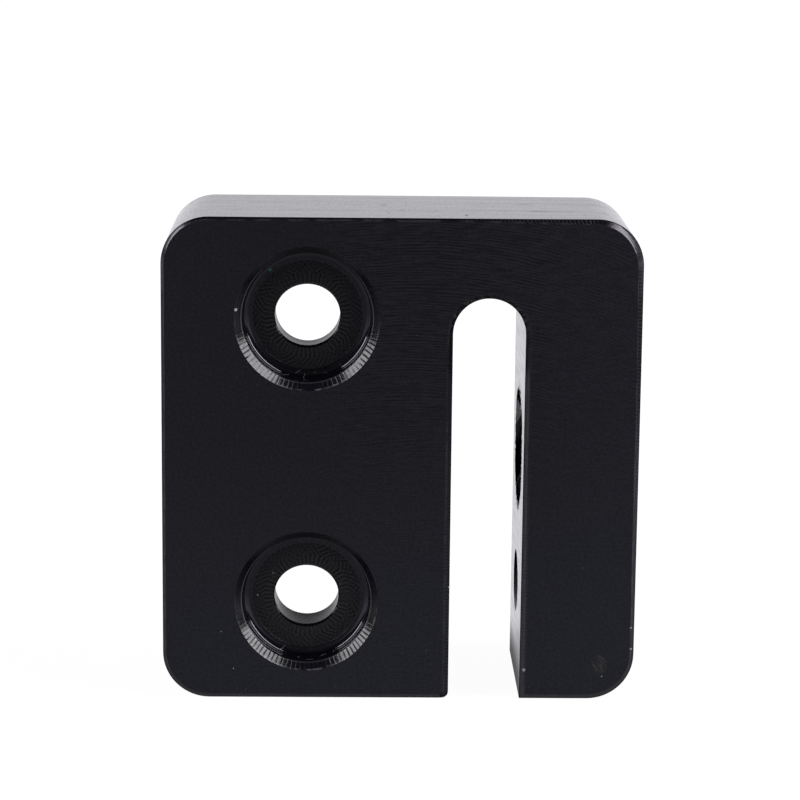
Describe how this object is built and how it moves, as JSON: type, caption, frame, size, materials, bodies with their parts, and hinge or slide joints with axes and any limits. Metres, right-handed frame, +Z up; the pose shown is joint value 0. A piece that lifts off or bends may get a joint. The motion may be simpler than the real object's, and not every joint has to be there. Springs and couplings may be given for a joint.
{
  "type": "anti-backlash lead screw nut",
  "caption": "Black acetal nut block for a lead screw: a slot parts a spring leg from the body, so that a screw can take up thread play; stepped holes bolt it to a carriage.",
  "frame": {"origin": "middle of the bottom face, halfway between the front and rear faces", "axes": "+X along the lead screw towards the spring leg, +Y from the front face to the rear face, +Z up, away from the slot's mouth"},
  "size_m": [0.033, 0.012, 0.034],
  "materials": {
    "acetal": "black acetal, milled, satin with fine cutter marks"
  },
  "bodies": {
    "root": {"nut_block": "acetal"}
  },
  "joints": []
}
